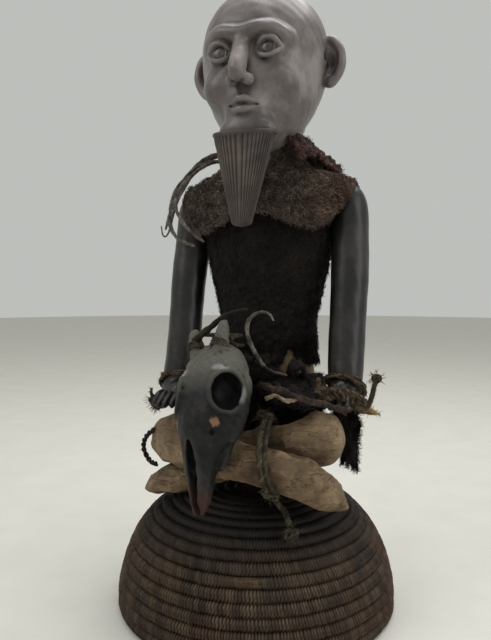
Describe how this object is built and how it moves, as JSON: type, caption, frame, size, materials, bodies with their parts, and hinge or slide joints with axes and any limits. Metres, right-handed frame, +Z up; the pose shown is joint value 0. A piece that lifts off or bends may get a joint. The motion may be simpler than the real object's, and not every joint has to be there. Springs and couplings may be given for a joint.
{
  "type": "carved ancestor figure",
  "caption": "Seated bearded wooden figure in hide and fur, lashed onto an upturned coiled basket, with a small antelope skull that swings in its lap.",
  "frame": {"origin": "centre of the upturned basket's rim, on the surface it stands on", "axes": "+Z up; -Y is the way the figure faces; +X is the figure's left"},
  "size_m": [0.312, 0.312, 0.688],
  "materials": {
    "basket_fibre": "dry plant fibre",
    "basket_strand": "dark stained strand, dry, dusty in the grooves",
    "pale_wood": "pale carved wood, grimy in the hollows",
    "dark_wood": "dark polished patina",
    "eye_inlay": "dull inlay",
    "peg_wood": "bare wood",
    "black_hide": "crusted and matt",
    "matted_fur": "short matted fur",
    "red_hide": "dry, cracked and ragged",
    "grey_thong": "dried and stiff",
    "brown_hide": "dry rolled lip, torn pale at one edge",
    "tan_hide": "dry and pale with a dark edge",
    "dry_fibre": "frayed plant fibre",
    "dark_rope": "twisted, waxed with grime",
    "dark_bone": "smoked bone, lighter on the crown",
    "teeth": "stained enamel",
    "vine": "dry bark"
  },
  "bodies": {
    "basket_and_figure": {"basket_bundle": "basket_fibre", "basket_stitching": "basket_strand", "trunk": "pale_wood", "head": "dark_wood", "eye_inlays": "eye_inlay", "neck_peg": "peg_wood", "right_arm": "dark_wood", "left_arm": "dark_wood", "shoulder_pegs": "peg_wood", "hip_pegs": "peg_wood", "right_leg": "pale_wood", "left_leg": "pale_wood", "torso_hide": "black_hide", "fur_mantle": "matted_fur", "hide_collar": "red_hide", "thong_1": "grey_thong", "thong_2": "grey_thong", "thong_3": "grey_thong", "thong_4": "grey_thong", "thong_5": "grey_thong", "lap_hide": "black_hide", "lap_hide_edge": "brown_hide", "lap_thong": "grey_thong", "hanging_hide_strip": "black_hide", "hide_tip": "tan_hide", "right_wrist_binding": "dry_fibre", "left_wrist_binding": "dry_fibre", "left_tie_end": "dry_fibre", "knee_rope": "dark_rope", "shin_lashing": "dry_fibre", "lashing_tail": "dry_fibre", "basket_knot": "dry_fibre", "skull_hanger": "dry_fibre"},
    "skull_on_cord": {"skull": "dark_bone", "skull_teeth": "teeth", "horn_binding": "dry_fibre", "vine_root": "vine"}
  },
  "joints": [
    {"name": "skull_swing", "type": "hinge", "parent": "basket_and_figure", "child": "skull_on_cord", "pos_m": [-0.02, -0.052, 0.301], "axis": [-1, 0, 0], "range_deg": [0, 35]}
  ]
}
